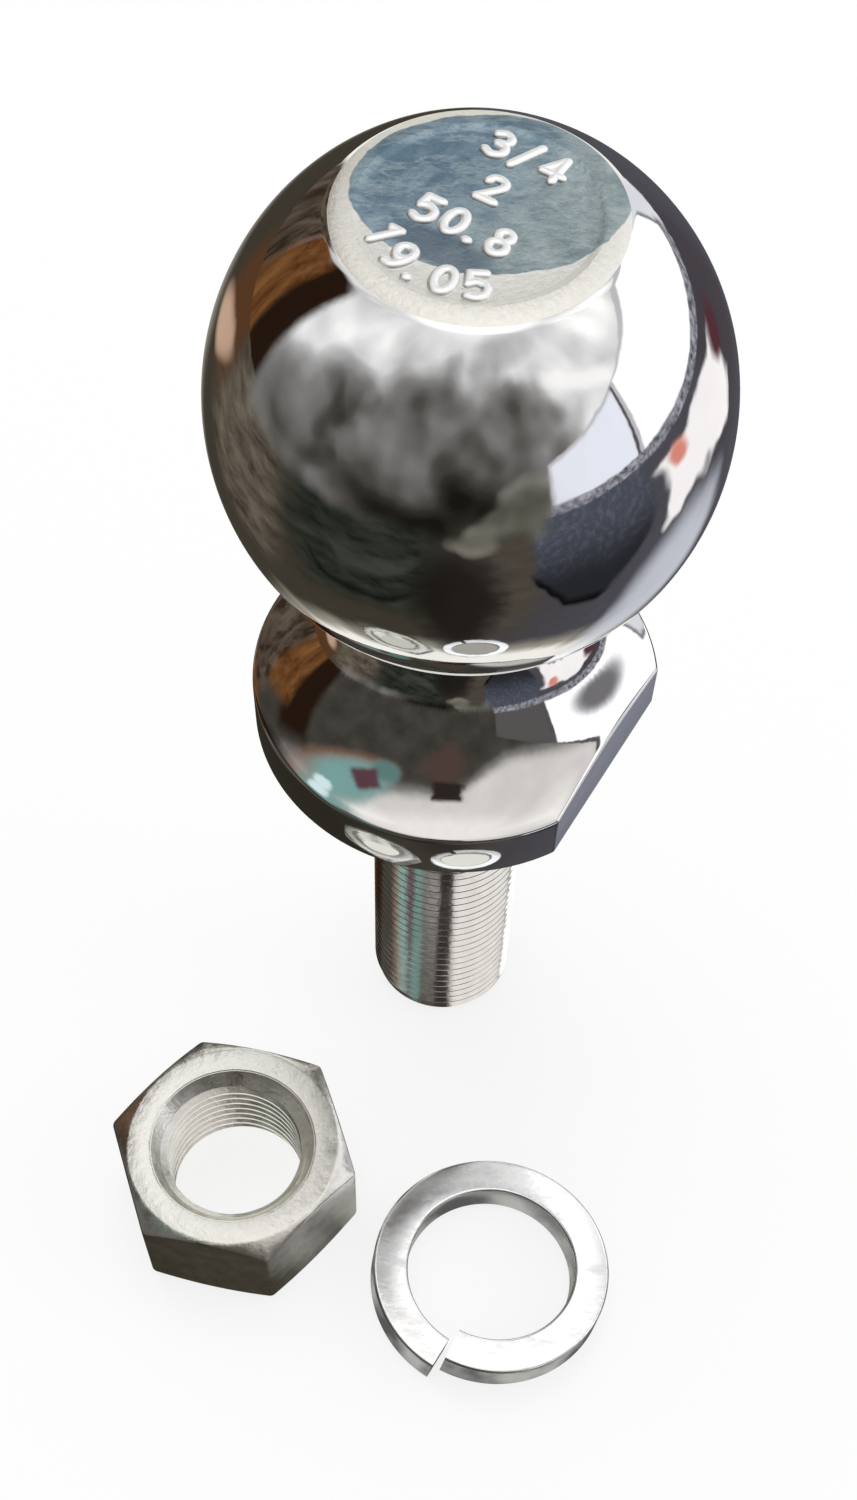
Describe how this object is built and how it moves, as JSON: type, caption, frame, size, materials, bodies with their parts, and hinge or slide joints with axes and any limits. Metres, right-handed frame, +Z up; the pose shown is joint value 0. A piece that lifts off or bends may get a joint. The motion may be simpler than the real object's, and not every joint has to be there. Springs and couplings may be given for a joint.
{
  "type": "threaded tow ball",
  "caption": "Tow ball forged in one piece with its neck, flange and threaded shank, shown with its hex nut and split lock washer taken off.",
  "frame": {"origin": "centre of the end face of the shank, on the surface that the part stands on", "axes": "+Z up along the shank through the ball; the nut and the lock washer lie towards -Y; the wrench flat faces 27.8 degrees from +X towards -Y"},
  "size_m": [0.0673, 0.0905, 0.1301],
  "materials": {
    "chrome_plate": "bright chrome plate on turned steel, satin on the stamped top and the wrench flat",
    "nut_zinc": "zinc plate, satin, a little mottled",
    "washer_zinc": "bright zinc plate, satin, a little mottled"
  },
  "bodies": {
    "root": {"tow_ball": "chrome_plate", "hex_nut": "nut_zinc", "lock_washer": "washer_zinc"}
  },
  "joints": []
}
